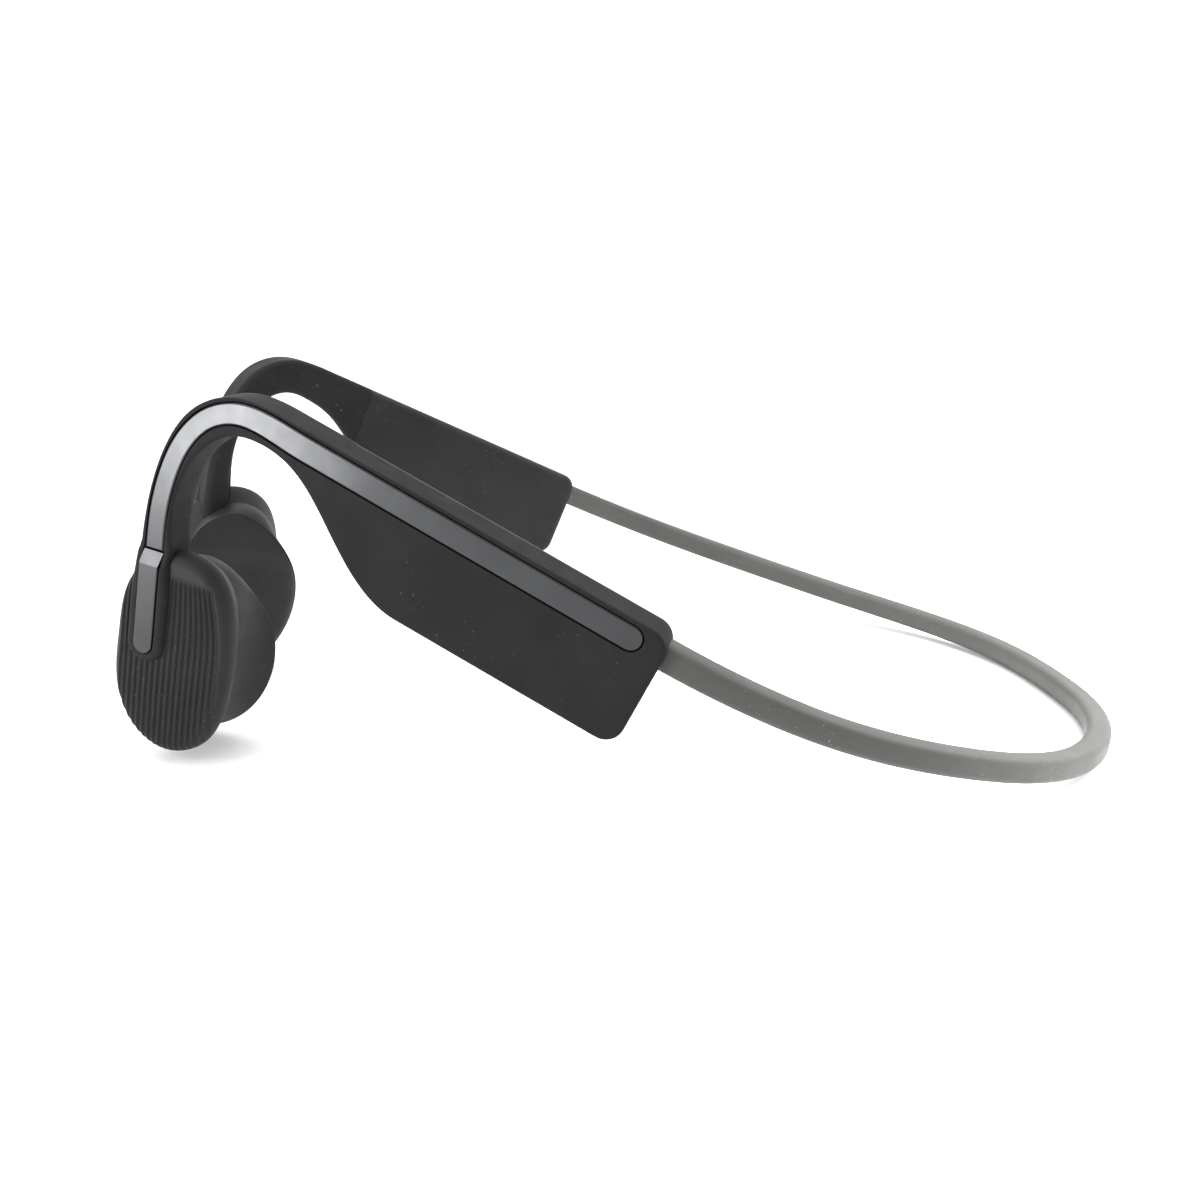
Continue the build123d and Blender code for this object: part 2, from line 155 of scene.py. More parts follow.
def closed_spline(points, count):
    """Smooth closed curve through the points."""
    p = np.array(points, float)
    n = len(p)
    h = np.linalg.norm(np.roll(p, -1, axis=0) - p, axis=1)
    lhs = np.zeros((n, n))
    rhs = np.zeros_like(p)
    for i in range(n):
        before, after = (i - 1) % n, (i + 1) % n
        lhs[i, before] += h[i]
        lhs[i, i] += 2 * (h[before] + h[i])
        lhs[i, after] += h[before]
        rhs[i] = 3 * (h[i] * (p[i] - p[before]) / h[before]
                      + h[before] * (p[after] - p[i]) / h[i])
    return hermite(p, np.linalg.solve(lhs, rhs), h, count, True)


def arc(centre, radius, start, end, count=9):
    """Points on an arc, with its start and end in degrees."""
    turn = np.radians(np.linspace(start, end, count))
    return np.stack([centre[0] + radius * np.cos(turn), centre[1] + radius * np.sin(turn)], 1)


def aligned(curve, reference):
    """The same closed curve, resampled so that its points lie at the reference's angles."""
    angle = np.unwrap(np.arctan2(curve[:, 1], curve[:, 0]))
    if angle[-1] < angle[0]:
        curve, angle = curve[::-1], angle[::-1]
    wanted = np.arctan2(reference[:, 1], reference[:, 0])
    wanted = angle[0] + np.mod(wanted - angle[0], 2 * np.pi)
    loop = np.concatenate([angle, [angle[0] + 2 * np.pi]])
    radius = np.linalg.norm(np.concatenate([curve, curve[:1]]), axis=1)
    length = np.interp(wanted, loop, radius)
    return np.stack([length * np.cos(wanted), length * np.sin(wanted)], 1)


def smoothstep(x, low, high):
    """0 up to low, 1 from high on, and a smooth rise between them."""
    t = np.clip((x - low) / (high - low), 0, 1)
    return t * t * (3 - 2 * t)


# ---- meshes ---------------------------------------------------------------------------------
def placed(name, data):
    """A new object for the data, in the scene."""
    obj = bpy.data.objects.new(name, data)
    bpy.context.scene.collection.objects.link(obj)
    return obj


def temporary(verts, faces):
    """A shape that is still in millimetres."""
    mesh = bpy.data.meshes.new("shape")
    mesh.from_pydata([tuple(v) for v in verts], [], [tuple(f) for f in faces])
    return outward(placed("shape", mesh), True)


def outward(obj, merge=False):
    """Turn the faces outwards, if asked after merging the points that coincide."""
    bm = bmesh.new()
    bm.from_mesh(obj.data)
    if merge:
        bmesh.ops.remove_doubles(bm, verts=bm.verts, dist=1e-5)
    bmesh.ops.recalc_face_normals(bm, faces=bm.faces)
    bm.to_mesh(obj.data)
    bm.free()
    return obj


def evaluated(obj):
    """A mesh of the object as its modifiers or its curve settings make it."""
    bpy.context.view_layer.update()
    graph = bpy.context.evaluated_depsgraph_get()
    return bpy.data.meshes.new_from_object(obj.evaluated_get(graph))


def bake(obj):
    """Apply the object's modifiers to its mesh."""
    done = evaluated(obj)
    obj.modifiers.clear()
    obj.data = done
    return obj


def discard(*objects):
    for obj in objects:
        bpy.data.objects.remove(obj)


def rounded_slab(outline, w_low, w_high, radius, steps=6):
    """A flat outline (u, z) thickened over a span of w, with rounded rims."""
    data = bpy.data.curves.new("outline", "CURVE")
    data.dimensions = "2D"
    data.fill_mode = "BOTH"
    data.extrude = (w_high - w_low) / 2 - radius
    data.bevel_depth = radius
    data.bevel_resolution = steps
    data.offset = -radius
    line = data.splines.new("POLY")
    line.points.add(len(outline) - 1)
    for point, spot in zip(line.points, outline):
        point.co = (spot[0], spot[1], 0, 1)
    line.use_cyclic_u = True
    obj = placed("outline", data)
    mesh = evaluated(obj)
    discard(obj)
    solid = placed("slab", mesh)
    middle = (w_low + w_high) / 2
    for v in mesh.vertices:
        v.co = (v.co.x, middle + v.co.z, v.co.y)
    return outward(solid, True)


def skin(rings):
    """Points and faces of a closed surface through equal rings, capped at both ends."""
    rings = [np.asarray(r) for r in rings]
    n = len(rings[0])
    verts = np.concatenate(rings)
    faces = []
    for k in range(len(rings) - 1):
        a, b = k * n, (k + 1) * n
        faces += [(a + i, a + (i + 1) % n, b + (i + 1) % n, b + i) for i in range(n)]
    faces.append(tuple(range(n)))
    faces.append(tuple(range(len(verts) - n, len(verts))))
    return verts, faces


def joined(*objects):
    """One object holding the meshes of several."""
    bm = bmesh.new()
    for obj in objects:
        bm.from_mesh(obj.data)
    mesh = bpy.data.meshes.new("joined")
    bm.to_mesh(mesh)
    bm.free()
    discard(*objects)
    return placed("joined", mesh)


def melted(obj):
    """Overlapping solids run together into one skin with soft inside corners."""
    remesh = obj.modifiers.new("remesh", "REMESH")
    remesh.mode = "VOXEL"
    remesh.voxel_size = VOXEL
    relax = obj.modifiers.new("relax", "SMOOTH")
    relax.factor = 0.5
    relax.iterations = RELAX_STEPS
    return bake(obj)


def cut(obj, *cutters):
    """Take the cutters away from the object, one after another."""
    for cutter in cutters:
        modifier = obj.modifiers.new("cut", "BOOLEAN")
        modifier.operation = "DIFFERENCE"
        modifier.solver = "EXACT"
        modifier.object = cutter
        bake(obj)
        discard(cutter)
    return obj


SIDE_TURN = {side: Matrix(((cos(TOE_IN), -sin(TOE_IN), 0, HOOK_X),
                           (sign * sin(TOE_IN), sign * cos(TOE_IN), 0, sign * HOOK_Y),
                           (0, 0, 1, 0),
                           (0, 0, 0, 1)))
             for side, sign in SIGN.items()}


def piece(obj, name, material, body, replaced, side=None, angle=32):
    """Finish a millimetre shape as a named piece of the headphones, in metres."""
    turn = SIDE_TURN[side] if side else Matrix.Identity(4)
    obj.data.transform(Matrix.Scale(MM, 4) @ turn)
    obj.data.update()
    outward(obj)
    obj.data.polygons.foreach_set("use_smooth", [True] * len(obj.data.polygons))
    obj.data.set_sharp_from_angle(angle=radians(angle))
    obj.name = name
    obj.data.name = name
    obj.data.materials.clear()
    obj.data.materials.append(material)
    if body:
        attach(obj, body)
    if replaced:
        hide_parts(*replaced)
    return obj


# ---- materials ------------------------------------------------------------------------------
NOISE_LOW, NOISE_HIGH = 0.3, 0.7     # most of a noise lies between these


class Shader:
    """One procedural material on a single Principled shader."""

    def __init__(self, name, **constants):
        self.material = bpy.data.materials.new(name)
        self.material.use_nodes = True
        self.tree = self.material.node_tree
        self.principled = self.tree.nodes["Principled BSDF"]
        self.place = self.tree.nodes.new("ShaderNodeTexCoord").outputs["Object"]
        for socket, value in constants.items():
            self.principled.inputs[socket.replace("_", " ")].default_value = value

    def noise(self, size_mm, detail=3.0, rough=0.55, stretch=None):
        """Noise with grains of about this size; stretch draws it out along the axes."""
        place = self.place
        if stretch:
            mapping = self.tree.nodes.new("ShaderNodeMapping")
            mapping.inputs["Scale"].default_value = stretch
            self.tree.links.new(place, mapping.inputs["Vector"])
            place = mapping.outputs["Vector"]
        node = self.tree.nodes.new("ShaderNodeTexNoise")
        node.inputs["Scale"].default_value = 1 / (size_mm * MM)
        node.inputs["Detail"].default_value = detail
        node.inputs["Roughness"].default_value = rough
        self.tree.links.new(place, node.inputs["Vector"])
        return node.outputs["Fac"]

    def ramp(self, value, stops):
        """Colour from a value, between two (position, colour) stops."""
        node = self.tree.nodes.new("ShaderNodeValToRGB")
        for element, (position, colour) in zip(node.color_ramp.elements, stops):
            element.position = position
            element.color = (*colour, 1)
        self.tree.links.new(value, node.inputs["Fac"])
        return node.outputs["Color"]

    def spread(self, value, low, high):
        """A noise value stretched over a range of numbers."""
        node = self.tree.nodes.new("ShaderNodeMapRange")
        node.inputs["From Min"].default_value = NOISE_LOW
        node.inputs["From Max"].default_value = NOISE_HIGH
        node.inputs["To Min"].default_value = low
        node.inputs["To Max"].default_value = high
        self.tree.links.new(value, node.inputs["Value"])
        return node.outputs["Result"]

    def tinted(self, colour, factor, tint):
        """The colour, with a plain tint over it where the factor is high."""
        node = self.tree.nodes.new("ShaderNodeMix")
        node.data_type = "RGBA"
        under, over = node.inputs[6], node.inputs[7]     # the colour sockets A and B
        self.tree.links.new(factor, node.inputs["Factor"])
        self.tree.links.new(colour, under)
        over.default_value = (*tint, 1)
        return node.outputs[2]     # the colour result

    def product(self, a, b):
        node = self.tree.nodes.new("ShaderNodeMath")
        node.operation = "MULTIPLY"
        self.tree.links.new(a, node.inputs[0])
        self.tree.links.new(b, node.inputs[1])
        return node.outputs[0]

    def bump(self, *heights):
        """Bump from (height, strength, depth in mm) layers, one over another."""
        normal = None
        for height, strength, depth in heights:
            node = self.tree.nodes.new("ShaderNodeBump")
            node.inputs["Strength"].default_value = strength
            node.inputs["Distance"].default_value = depth * MM
            self.tree.links.new(height, node.inputs["Height"])
            if normal:
                self.tree.links.new(normal, node.inputs["Normal"])
            normal = node.outputs["Normal"]
        self.tree.links.new(normal, self.principled.inputs["Normal"])

    def wire(self, socket, output):
        self.tree.links.new(output, self.principled.inputs[socket])


BLACK, WHITE = (0, 0, 0), (1, 1, 1)


def grained(name, dark, light, rough, grain_mm, depth_mm, mottle_mm=9.0, dust=None, **constants):
    """Slot name and material of a moulded or coated surface: mottled, grained, perhaps dusty."""
    s = Shader(name, **constants)
    mottle = s.noise(mottle_mm, 4.0)
    grain = s.noise(grain_mm, 2.0, 0.7)
    colour = s.ramp(mottle, [(NOISE_LOW, dark), (NOISE_HIGH, light)])
    if dust:
        specks = s.ramp(s.noise(0.32, 1.0, 0.4), [(0.735, BLACK), (0.765, WHITE)])
        patches = s.ramp(s.noise(16.0, 2.0), [(0.45, BLACK), (0.62, WHITE)])
        colour = s.tinted(colour, s.product(specks, patches), dust)
    s.wire("Base Color", colour)
    s.wire("Roughness", s.spread(s.noise(mottle_mm / 3, 3.0), rough[0], rough[1]))
    s.bump((grain, 0.5, depth_mm), (s.noise(grain_mm * 6, 2.0), 0.2, depth_mm * 3))
    return name, s.material


def brushed(name, dark, light, rough, stretch):
    """Slot name and material of bare metal with fine drawn lines."""
    s = Shader(name, Metallic=1.0)
    lines = s.noise(1.2, 3.0, 0.6, stretch)
    s.wire("Base Color", s.ramp(lines, [(NOISE_LOW, dark), (NOISE_HIGH, light)]))
    s.wire("Roughness", s.spread(s.noise(2.5, 3.0), rough[0], rough[1]))
    s.bump((lines, 0.25, 0.01))
    return name, s.material


def make_materials():
    """Every slot's material, by the slot's name."""
    dark_dust, band_dust = (0.08, 0.08, 0.077), (0.26, 0.26, 0.25)
    made = [
        grained("soft_touch_housing", (0.0155, 0.0147, 0.0155), (0.0203, 0.0193, 0.0203),
                (0.54, 0.64), 0.09, 0.012, dust=dark_dust, Specular_IOR_Level=0.05),
        grained("ribbed_shell", (0.0135, 0.0130, 0.0135), (0.0180, 0.0174, 0.0180),
                (0.48, 0.58), 0.09, 0.010, dust=dark_dust, Specular_IOR_Level=0.2),
        grained("inner_cover", (0.0150, 0.0141, 0.0150), (0.0196, 0.0186, 0.0196),
                (0.46, 0.56), 0.12, 0.012, dust=dark_dust, Specular_IOR_Level=0.12),
        grained("pad_silicone", (0.0172, 0.0164, 0.0172), (0.0226, 0.0216, 0.0226),
                (0.52, 0.62), 0.10, 0.010, dust=dark_dust, Specular_IOR_Level=0.2),
        grained("band_silicone", (0.054, 0.054, 0.0505), (0.064, 0.064, 0.059),
                (0.54, 0.64), 0.14, 0.014, 14.0, band_dust, Specular_IOR_Level=0.3),
        grained("satin_strip", (0.047, 0.048, 0.050), (0.056, 0.057, 0.059),
                (0.22, 0.27), 0.05, 0.002, 6.0, Metallic=0.9),
        brushed("titanium", (0.42, 0.40, 0.38), (0.56, 0.54, 0.51), (0.28, 0.38), (1, 8, 8)),
        brushed("steel", (0.48, 0.48, 0.50), (0.62, 0.62, 0.64), (0.25, 0.35), (8, 8, 1)),
        brushed("magnet", (0.55, 0.55, 0.57), (0.68, 0.68, 0.70), (0.15, 0.25), (2, 2, 2)),
        brushed("copper", (0.50, 0.20, 0.09), (0.72, 0.36, 0.19), (0.25, 0.35), (1, 12, 1)),
        grained("circuit_board", (0.010, 0.09, 0.04), (0.016, 0.13, 0.06),
                (0.25, 0.40), 0.30, 0.02),
        grained("battery_foil", (0.50, 0.50, 0.52), (0.62, 0.62, 0.64),
                (0.30, 0.45), 0.50, 0.03, Metallic=0.9),
        brushed("port_steel", (0.45, 0.45, 0.46), (0.58, 0.58, 0.59), (0.25, 0.35), (6, 1, 1)),
        grained("key_plastic", (0.040, 0.040, 0.042), (0.050, 0.050, 0.052),
                (0.40, 0.50), 0.12, 0.012),
        grained("light_guide", (0.62, 0.62, 0.62), (0.74, 0.74, 0.74),
                (0.15, 0.25), 0.40, 0.01),
        grained("lead_insulation", (0.30, 0.02, 0.015), (0.42, 0.035, 0.03),
                (0.30, 0.42), 0.20, 0.01),
    ]
    return dict(made)


# ---- ear hook and pod -----------------------------------------------------------------------
SLOPE = along_pod(1, 0)
LEG_DOWN = np.array([-LEG_LEAN, -1.0])


def housing_outline(foot=LEG_FOOT, tuck=0.0, belly=0.0):
    """Hook and pod from the side; tuck draws in the leg's rear edge, belly lowers the arch."""
    lower = (foot - LEG_FOOT) * LEG_LEAN
    outer = spline([along_pod(-10.2, POD_TOP), (1.5, 50.5), (-3.4, 48.9), (-7.6, 44.2),
                    (-10.4, 38.0), (-12.87 + lower, foot)], -SLOPE, LEG_DOWN, 90)
    inner = spline([(-8.37 + lower - tuck, foot), (-7.7 - tuck, 34.0), (-5.6 - 0.8 * tuck, 40.2),
                    (-2.0 - 0.3 * tuck, 44.3), (1.5, 45.8 - 0.3 * belly),
                    (5.0, 45.3 - 0.8 * belly), (8.2 - 0.2 * belly, 43.6 - belly),
                    (13.6 - 0.7 * belly, 36.1 - 0.4 * belly),
                    along_pod(10.6, POD_BOTTOM)], -LEG_DOWN, SLOPE, 110)
    lean = -np.degrees(POD_SLOPE)
    low_corner = along_pod(POD_REAR - POD_CORNER, POD_BOTTOM + POD_CORNER)
    high_corner = along_pod(POD_REAR - POD_CORNER, POD_TOP - POD_CORNER)
    return np.concatenate([outer, inner, arc(low_corner, POD_CORNER, lean - 90, lean),
                           arc(high_corner, POD_CORNER, lean, lean + 90)])


def clipped(outline, front, sign):
    """The part of an outline behind (sign 1) or ahead of (sign -1) a line square to the slope."""
    past = sign * (outline @ SLOPE - front)
    kept = []
    for i in range(len(outline)):
        j = (i + 1) % len(outline)
        if past[i] > 0:
            kept.append(outline[i])
        if (past[i] > 0) != (past[j] > 0):
            kept.append(outline[i] - (outline[j] - outline[i]) * past[i] / (past[j] - past[i]))
    return np.array(kept)


def pod_block(a_span, b_span, w_span):
    """A cutter or block lined up with the pod's slope."""
    corners = [along_pod(a, b) for a, b in ((a_span[0], b_span[0]), (a_span[1], b_span[0]),
                                            (a_span[1], b_span[1]), (a_span[0], b_span[1]))]
    rings = [[(u, w, z) for u, z in corners] for w in w_span]
    return temporary(*skin(rings))


def strip_centre():
    """Centre line of the trim strip in (u, z), from the pod's rear to the button."""
    start, bend = along_pod(36.75, 45.72), along_pod(-7.8, 45.95)
    arch = spline([bend, (7.28, 47.15), (2.2, 48.6), (-1.15, 47.88), (-5.08, 44.6),
                   (-7.55, 40.3), (-9.25, 35.4), STRIP_END], bend - start, LEG_DOWN, ARCH_STEPS)
    run = [start + (bend - start) * k for k in np.linspace(0, 1, STRAIGHT_STEPS)[:-1]]
    return np.concatenate([run, arch])


def strip_half():
    """Half width at each point of the centre line: wide on the pod, narrow down the leg."""
    count = STRAIGHT_STEPS - 1 + ARCH_STEPS
    along_arch = (np.arange(count) - (STRAIGHT_STEPS - 1)) / (count - STRAIGHT_STEPS)
    narrowing = smoothstep(along_arch, 0.0, 0.5)
    return (STRIP_WIDTH + (STRIP_NARROW - STRIP_WIDTH) * narrowing)[:, None] / 2


def ribbon_outline(extra=0.0):
    """Outline of the strip, or with extra of its groove: round at the pod's end."""
    centre, half = strip_centre(), strip_half() + extra
    ahead = np.gradient(centre, axis=0)
    ahead /= np.linalg.norm(ahead, axis=1)[:, None]
    across = np.stack([-ahead[:, 1], ahead[:, 0]], 1)
    left, right = centre + across * half, centre - across * half
    facing = np.degrees(np.arctan2(-ahead[0, 1], -ahead[0, 0]))
    end = arc(centre[0], half[0, 0], facing + 90, facing - 90, 13)[1:-1]
    return np.concatenate([left, right[::-1], end])


def button_outline(radius, top_extra):
    """Straight-topped tab with a round foot, down the transducer's face."""
    top = BUTTON_TOP - DOWN * top_extra
    foot = BUTTON_TOP + DOWN * BUTTON_LENGTH
    facing = np.degrees(np.arctan2(DOWN[1], DOWN[0]))
    sides = [top + (foot - top) * k for k in np.linspace(0, 0.95, 16)]
    rising = [spot + ACROSS * radius for spot in sides[::-1]]
    falling = [spot - ACROSS * radius for spot in sides]
    return np.concatenate([rising, falling, arc(foot, radius, facing + 90, facing - 90, 21)])


def arm_outline():
    """The raised arm around the button, drawn in to the leg's width at its top."""
    wide = button_outline(ARM_RADIUS, 0.6)
    reach = (wide - BUTTON_TOP) @ DOWN
    spread = (wide - BUTTON_TOP) @ ACROSS
    drawn_in = (1 - smoothstep(reach, -1.0, 7.0)) * 0.55
    return wide - np.outer(np.sign(spread) * drawn_in, ACROSS)


def step_cutter(span, w_low, w_high):
    """Wedge that slopes a raised tab down to the strip, over a span of distances down it."""
    high, low = BUTTON_TOP + DOWN * span[0], BUTTON_TOP + DOWN * span[1]
    past, roof = 6, w_high + 3
    wedge = []
    for offset in (-past, past):
        a, b = high + ACROSS * offset, low + ACROSS * offset
        back = a - DOWN * past
        wedge.append([(back[0], w_low, back[1]), (a[0], w_low, a[1]), (b[0], w_high, b[1]),
                      (b[0], roof, b[1]), (back[0], roof, back[1])])
    return temporary(*skin(wedge))


def button_slot(top_extra, depth):
    """Cutter for the slot that the button slides in, down to a depth below its inner face."""
    outline = button_outline(BUTTON_RADIUS + SLIDE_GAP, top_extra)
    return rounded_slab(outline, BUTTON_IN - depth, PAST_OUT, CUTTER_RIM, 0)


def pod_hollow(w_span):
    return pod_block((CAVITY_FRONT, POD_REAR - WALL), (POD_BOTTOM + WALL, POD_TOP - WALL), w_span)


def port_hole(w_span):
    return pod_block((PORT_ALONG - PORT_HALF, PORT_ALONG + PORT_HALF),
                     (POD_BOTTOM - 1, POD_BOTTOM + PORT_DEPTH), w_span)


def hook_shapes():
    """Overlapping solids that make up one hook and pod."""
    outline = housing_outline()
    whole = rounded_slab(outline, COVER_OUT, HOUSING_OUT, RIM_ROUND)
    pod = rounded_slab(clipped(outline, COVER_FRONT, 1), COVER_OUT - COVER_OVERLAP,
                       HOUSING_OUT, RIM_ROUND)
    head_side = clipped(housing_outline(INNER_LEG_FOOT, TUCK, BELLY), INNER_SLAB_END, -1)
    inner = rounded_slab(head_side, HOUSING_IN, INNER_SLAB_OUT, HOOK_ROUND)
    arm = rounded_slab(arm_outline(), ARM_IN, ARM_OUT, ARM_ROUND)
    cut(arm, step_cutter(ARM_STEP, HOUSING_OUT - 0.15, ARM_OUT + 0.05))
    return joined(whole, pod, inner, arm)


def earhook_housing(side, materials):
    """Hook, pod and arm in one skin, with its grooves, its hollow and the lid's space."""
    solid = melted(hook_shapes())
    groove = rounded_slab(ribbon_outline(STRIP_GAP), HOUSING_OUT - STRIP_DEPTH, HOUSING_OUT + 3,
                          CUTTER_RIM, 0)
    lid_space = pod_block((COVER_FRONT - SEAM, POD_REAR + 5), (PAST_BELOW, PAST_ABOVE),
                          (PAST_IN, COVER_OUT))
    cutters = [groove, button_slot(0.3, 1), lid_space, pod_hollow((PAST_IN, CAVITY_OUT))]
    if side == "right":
        cutters += [pod_block((a - KEY_HALF, a + KEY_HALF),
                              (POD_BOTTOM - 2, POD_BOTTOM + KEY_DEPTH), OPENING_W)
                    for a in KEY_PLACES]
        cutters.append(port_hole(OPENING_W))
    cut(solid, *cutters)
    return piece(solid, f"{side}_earhook_housing_skin", materials["soft_touch_housing"],
                 f"{side}_side", (f"{side}_earhook_housing",), side)


def inner_cover(side, materials):
    """Lid with a broad rounded rim, in line with the hook at its front."""
    outline = clipped(housing_outline(belly=BELLY), COVER_FRONT - 4, 1)
    solid = rounded_slab(outline, HOUSING_IN, INNER_SLAB_OUT, LID_ROUND)
    outer_half = pod_block((-20, 60), (PAST_BELOW, PAST_ABOVE), (COVER_OUT - SEAM, 5))
    ahead = pod_block((-20, COVER_FRONT), (PAST_BELOW, PAST_ABOVE), (PAST_IN, 5))
    cut(solid, outer_half, ahead, pod_hollow((RECESS_IN, 0)))
    if side == "right":
        cut(solid, port_hole((-1.55, 0)))
    return piece(solid, f"{side}_inner_cover_skin", materials["inner_cover"],
                 f"{side}_side", (f"{side}_pod_inner_cover",), side)


def end_tab():
    """The button's tab: a flat face with a sloping step down to the strip at its top."""
    solid = rounded_slab(button_outline(BUTTON_RADIUS, 0), BUTTON_IN - 0.3, BUTTON_OUT, 0.15, 3)
    return cut(solid, step_cutter(BUTTON_STEP, HOUSING_OUT - 0.05, BUTTON_OUT + 0.01))


def trim_strip(side, materials):
    """The strip in its groove; the right one runs on as a fixed tab."""
    solid = rounded_slab(ribbon_outline(), HOUSING_OUT - STRIP_DEPTH + 0.02, HOUSING_OUT, 0.2, 2)
    if side == "right":
        solid = joined(solid, end_tab())
    return piece(solid, f"{side}_trim_strip_skin", materials["satin_strip"],
                 f"{side}_side", (f"{side}_trim_strip",), side, 10)


def multifunction_button(materials):
    return piece(end_tab(), "multifunction_tab", materials["satin_strip"],
                 "multifunction_button", ("multifunction_button",), "left", 10)


# ---- transducer -----------------------------------------------------------------------------
def drum_ring(outline, w):
    """A flat ring of (across, up) points in the drum's tilted axes, at one depth."""
    p, q = outline[:, 0], outline[:, 1]
    u = DRUM_CENTRE[0] + p * cos(DRUM_TILT) + q * sin(DRUM_TILT)
    z = DRUM_CENTRE[1] - p * sin(DRUM_TILT) + q * cos(DRUM_TILT)
    depth = np.broadcast_to(w, p.shape)
    return np.stack([u, depth, z], 1)


def inset(outline, distance):
    """The outline drawn in by a distance, straight towards its middle."""
    length = np.linalg.norm(outline, axis=1)[:, None]
    return outline * (1 - distance / length)


def ribs(p, q):
    """Groove depth of the moulded ribs, which bend with the outline near the top."""
    bent = p + 0.020 * np.maximum(q - 3, 0) ** 2 * np.clip(p / 6, 0, 1.2)
    crest = 0.5 + 0.5 * np.cos(2 * np.pi * (bent - RIB_START) / RIB_PITCH)
    sides = (1 - smoothstep(bent, 7.8, 8.2)) * smoothstep(bent, -6.5, -6.1)
    top = 1 - smoothstep(q, 11.8, 13.0)
    return RIB_DEPTH * (1 - crest ** 1.4) * sides * top


def transducer_shell(side, materials):
    """Ribbed face, rounded over to a crisp ridge, and a wall drawn in to the waist."""
    outline = closed_spline(SHELL_POINTS, DRUM_STEPS)
    rings = [drum_ring(inset(outline, WAIST + NECK), SHELL_IN)]
    for k in np.linspace(0, 1, 9):
        rings.append(drum_ring(inset(outline, WAIST * (1 - k) ** 1.15),
                               SHELL_IN + (SHELL_RIDGE - SHELL_IN) * k))
    height = SHELL_OUT - SHELL_RIDGE
    for turn in np.radians(np.linspace(4, 84, 26)):
        flat = inset(outline, SHELL_MARGIN * (1 - cos(turn)))
        level = SHELL_RIDGE + height * sin(turn)
        dip = ribs(flat[:, 0], flat[:, 1]) * smoothstep(np.degrees(turn), 25, 60)
        rings.append(drum_ring(flat, level - dip))
    last = flat
    for scale in np.linspace(1, 0.004, 100)[1:]:
        flat = last * scale
        crown = SHELL_CROWN * (1 - scale ** 2)
        rings.append(drum_ring(flat, level + crown - ribs(flat[:, 0], flat[:, 1])))
    solid = cut(temporary(*skin(rings)), button_slot(0, 1.5))
    return piece(solid, f"{side}_ribbed_shell", materials["ribbed_shell"],
                 f"{side}_side", (f"{side}_transducer_shell",), side, 50)


def rim_depth(q):
    """Depth of the cup's edge: level low down, rising towards the hook."""
    rise = np.maximum(q - 3.5, 0)
    eased = np.minimum(rise, 2.5)
    return CUP_IN + 0.19 * rise - 0.19 * eased * (1 - eased / 5)


def face_depth(q):
    """Depth of the pad's face: flat low down, a shallow bowl above."""
    t = np.clip((q - 2.5) / 10.5, 0, 1)
    return PAD_IN + 3.2 * (1 - (1 - t) ** 1.5) * smoothstep(t, 0, 0.5)


def drum_curves():
    """The shell's and the cup's outlines, with their points at the same angles."""
    shell = closed_spline(SHELL_POINTS, DRUM_STEPS)
    return shell, aligned(closed_spline(CUP_POINTS, DRUM_STEPS), shell)


def transducer_cup(side, materials):
    """Waisted wall that flares out to the edge of the cheek pad."""
    shell, cup = drum_curves()
    waist = inset(shell, WAIST)
    rings = [drum_ring(inset(shell, WAIST + NECK), SHELL_IN - 0.02)]
    rim = rim_depth(cup[:, 1])
    edge = rim + 0.2
    for k in np.linspace(0, 1, 26):
        out = 0.12 * k + 0.88 * k ** 2.1
        ring = waist * (1 - out) + cup * out
        rings.append(drum_ring(ring, SHELL_IN - 0.04 + (edge - SHELL_IN) * k))
    for turn in np.radians(np.linspace(15, 90, 6)):
        rings.append(drum_ring(inset(cup, 0.22 * (1 - cos(turn))), edge - 0.2 * sin(turn)))
    rings.append(drum_ring(inset(cup, 0.4), rim + 0.02))
    rings.append(drum_ring(inset(cup, 3.0), rim + 1.3))
    solid = temporary(*skin(rings))
    return piece(solid, f"{side}_cup_skin", materials["ribbed_shell"],
                 f"{side}_side", (f"{side}_transducer_cup",), side, 50)


def contact_pad(side, materials):
    """Soft face that runs on from the cup's edge, flat low down and hollow above."""
    cup = drum_curves()[1]
    edge = rim_depth(cup[:, 1])
    rings = [drum_ring(inset(cup, PAD_MARGIN), edge + 0.9),
             drum_ring(inset(cup, 0.35), edge + 0.1)]
    for turn in np.radians(np.linspace(8, 90, 16)):
        flat = inset(cup, 0.3 + PAD_MARGIN * (1 - cos(turn)))
        rings.append(drum_ring(flat, edge + (face_depth(flat[:, 1]) - edge) * sin(turn)))
    for scale in np.linspace(1, 0.01, 40)[1:]:
        flat = inset(cup, 2.9) * scale
        rings.append(drum_ring(flat, face_depth(flat[:, 1])))
    solid = temporary(*skin(rings))
    return piece(solid, f"{side}_pad_skin", materials["pad_silicone"],
                 f"{side}_side", (f"{side}_contact_pad",), side, 50)


# ---- neckband -------------------------------------------------------------------------------
def band_path(side):
    """The neckband's axis, from the pod's rear face to the middle of the rear."""
    u, z = along_pod(POD_REAR - BAND_ENTRY, BAND_ACROSS)
    start = (HOOK_X + u * cos(TOE_IN), HOOK_Y + u * sin(TOE_IN), z)
    leave = (SLOPE[0] * cos(TOE_IN), SLOPE[0] * sin(TOE_IN), SLOPE[1])
    points = [start, *BAND_POINTS, (REAR_X, 0, BAND_SIZE / 2 + BAND_LIFT)]
    return spline(points, leave, (0, -1, 0), BAND_STEPS) * (1, SIGN[side], 1)


